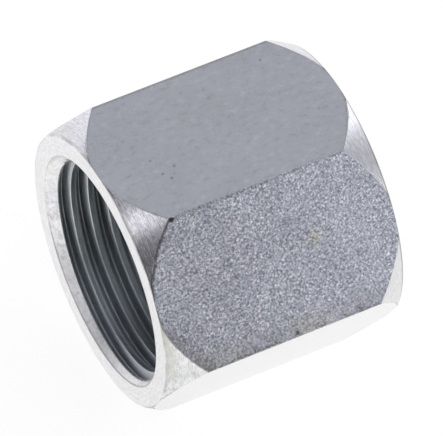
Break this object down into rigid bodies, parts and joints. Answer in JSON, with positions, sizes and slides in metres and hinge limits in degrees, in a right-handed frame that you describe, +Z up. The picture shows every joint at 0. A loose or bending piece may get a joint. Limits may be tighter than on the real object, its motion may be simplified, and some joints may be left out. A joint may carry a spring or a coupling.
{
  "type": "hydraulic end cap",
  "caption": "Hexagonal steel cap that closes a threaded hydraulic port end, with an internal right-hand thread and a conical flare seat.",
  "frame": {"origin": "centre of the cap's footprint, on the plane of the flat that it lies on", "axes": "+X along the bore from the open mouth to the closed end, +Y across the corners, +Z up and square to the flat that it lies on"},
  "size_m": [0.0292, 0.0366, 0.0318],
  "materials": {
    "plated_steel": "zinc plated, turned ends, dull drawn flats"
  },
  "bodies": {
    "root": {"end_cap": "plated_steel"}
  },
  "joints": []
}
